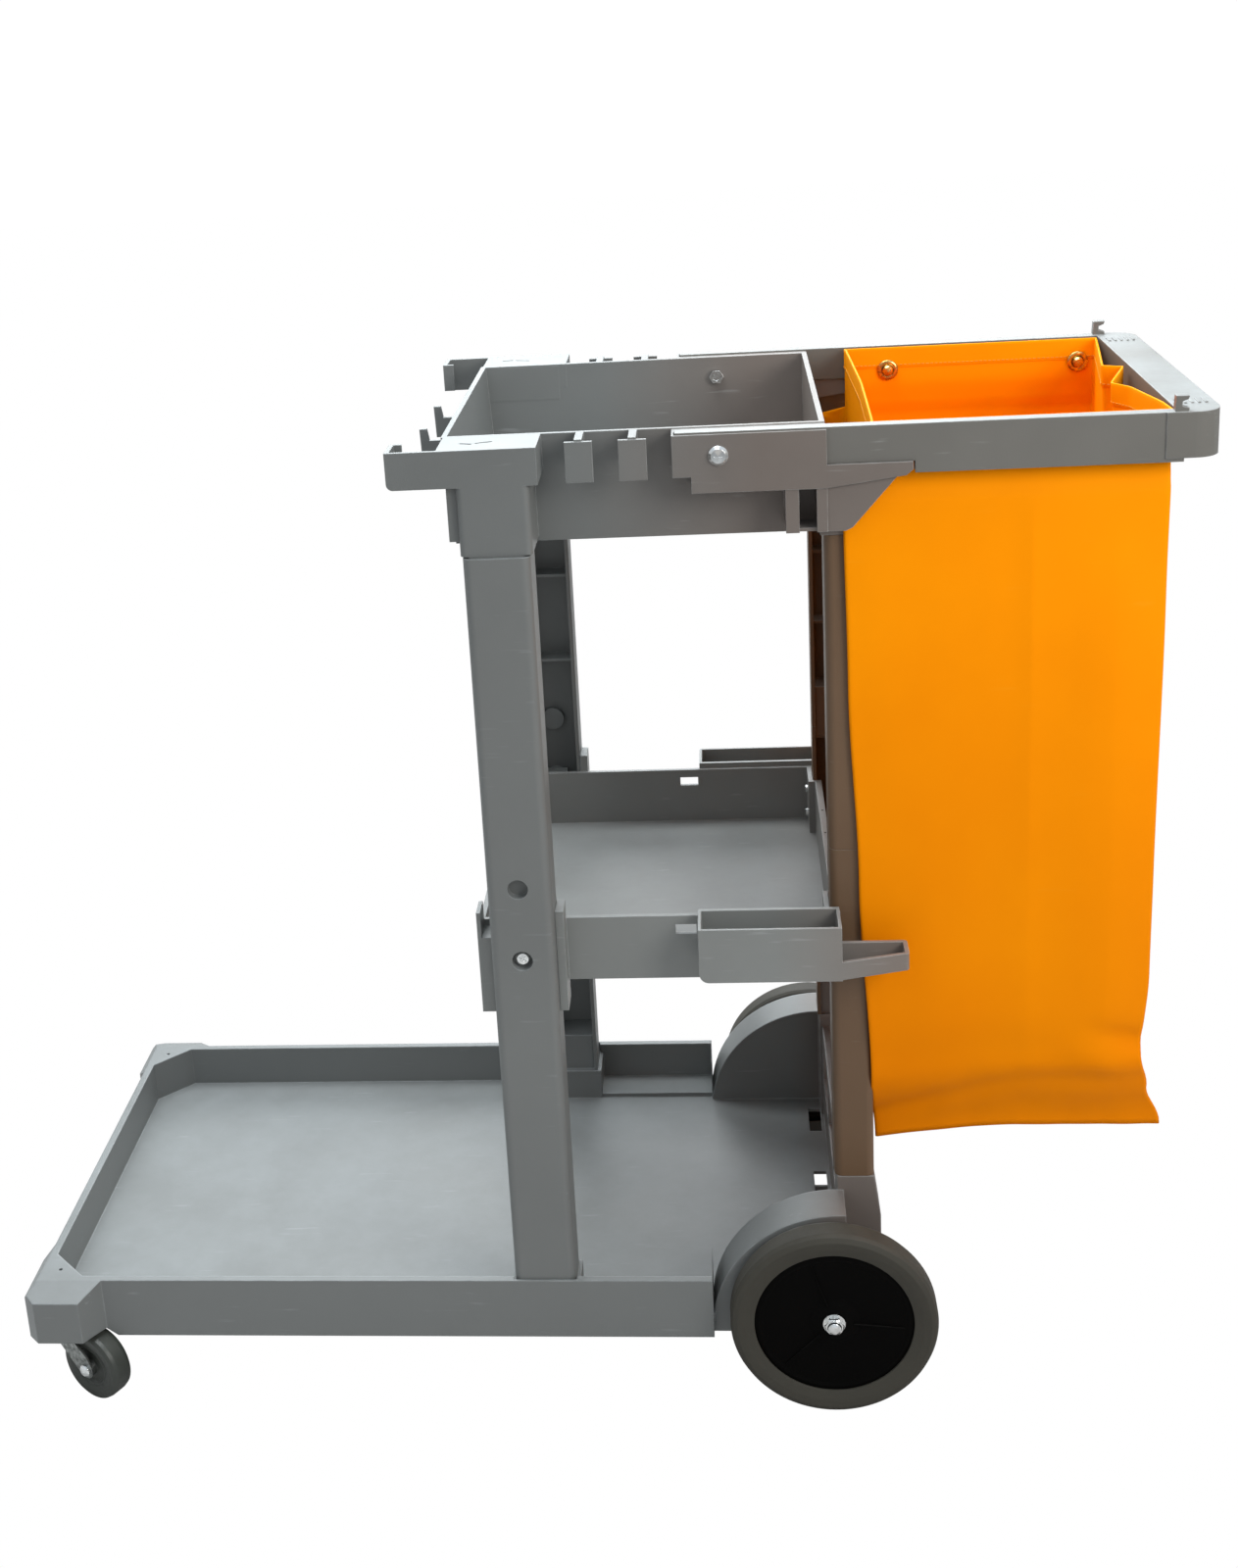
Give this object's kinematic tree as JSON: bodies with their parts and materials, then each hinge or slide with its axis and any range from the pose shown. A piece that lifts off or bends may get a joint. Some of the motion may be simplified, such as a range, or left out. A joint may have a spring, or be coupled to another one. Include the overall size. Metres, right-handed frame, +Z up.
{
  "type": "housekeeping cart",
  "caption": "Moulded housekeeping cart with a low deck, a shelf and a top tray between channel posts, a vinyl bag hung in the push-handle frame, rear wheels and swivel casters.",
  "frame": {"origin": "on the floor below the middle of the cart's overall box", "axes": "+X to the bag and push handle, +Y to the side away from the viewer of the picture, +Z up"},
  "size_m": [1.17, 0.542, 1.0007],
  "materials": {
    "grey_plastic": "fine moulded satin",
    "yellow_vinyl": "satin coated vinyl",
    "brass": "satin",
    "bright_steel": "bright plated",
    "zinc_steel": "zinc plated",
    "grey_tyre": "matte",
    "black_plastic": "satin moulded",
    "caster_rubber": "satin",
    "caster_plastic": "satin moulded"
  },
  "bodies": {
    "cart": {"base_platform": "grey_plastic", "middle_shelf": "grey_plastic", "top_tray": "grey_plastic", "bag_frame": "grey_plastic", "frame_bolts": "bright_steel", "frame_nuts": "bright_steel", "bag": "yellow_vinyl", "bag_grommets": "brass", "bag_studs": "brass", "shelf_screws": "bright_steel", "shelf_clips": "bright_steel", "front_post_left": "grey_plastic", "front_post_right": "grey_plastic", "rear_post_lower_left": "grey_plastic", "rear_post_lower_right": "grey_plastic", "rear_post_upper_left": "grey_plastic", "rear_post_upper_right": "grey_plastic", "wheel_axle_left": "zinc_steel", "wheel_axle_right": "zinc_steel", "wheel_washer_left": "bright_steel", "wheel_washer_right": "bright_steel", "wheel_nut_left": "bright_steel", "wheel_nut_right": "bright_steel", "caster_stem_left": "zinc_steel", "caster_stem_right": "zinc_steel"},
    "wheel_left": {"wheel_tyre_left": "grey_tyre", "wheel_disc_left": "black_plastic", "wheel_bush_left": "black_plastic"},
    "caster_fork_body_left": {"caster_fork_left": "zinc_steel", "caster_bolt_left": "bright_steel", "caster_nut_left": "bright_steel"},
    "caster_wheel_left": {"caster_tyre_left": "caster_rubber", "caster_hub_left": "caster_plastic"},
    "wheel_right": {"wheel_tyre_right": "grey_tyre", "wheel_disc_right": "black_plastic", "wheel_bush_right": "black_plastic"},
    "caster_fork_body_right": {"caster_fork_right": "zinc_steel", "caster_bolt_right": "bright_steel", "caster_nut_right": "bright_steel"},
    "caster_wheel_right": {"caster_tyre_right": "caster_rubber", "caster_hub_right": "caster_plastic"}
  },
  "joints": [
    {"name": "wheel_left_spin", "type": "hinge", "parent": "cart", "child": "wheel_left", "pos_m": [0.235, -0.245, 0.1015], "axis": [0, 1, 0], "continuous": true},
    {"name": "caster_left_swivel", "type": "hinge", "parent": "cart", "child": "caster_fork_body_left", "pos_m": [-0.5558, -0.2202, 0.08], "axis": [0, 0, 1], "continuous": true},
    {"name": "caster_left_spin", "type": "hinge", "parent": "caster_fork_body_left", "child": "caster_wheel_left", "pos_m": [-0.52344, -0.23814, 0.0375], "axis": [0.4848, 0.8746, 0], "continuous": true},
    {"name": "wheel_right_spin", "type": "hinge", "parent": "cart", "child": "wheel_right", "pos_m": [0.235, 0.245, 0.1015], "axis": [0, 1, 0], "continuous": true},
    {"name": "caster_right_swivel", "type": "hinge", "parent": "cart", "child": "caster_fork_body_right", "pos_m": [-0.5558, 0.2202, 0.08], "axis": [0, 0, 1], "continuous": true},
    {"name": "caster_right_spin", "type": "hinge", "parent": "caster_fork_body_right", "child": "caster_wheel_right", "pos_m": [-0.52344, 0.23814, 0.0375], "axis": [-0.4848, 0.8746, 0], "continuous": true}
  ]
}
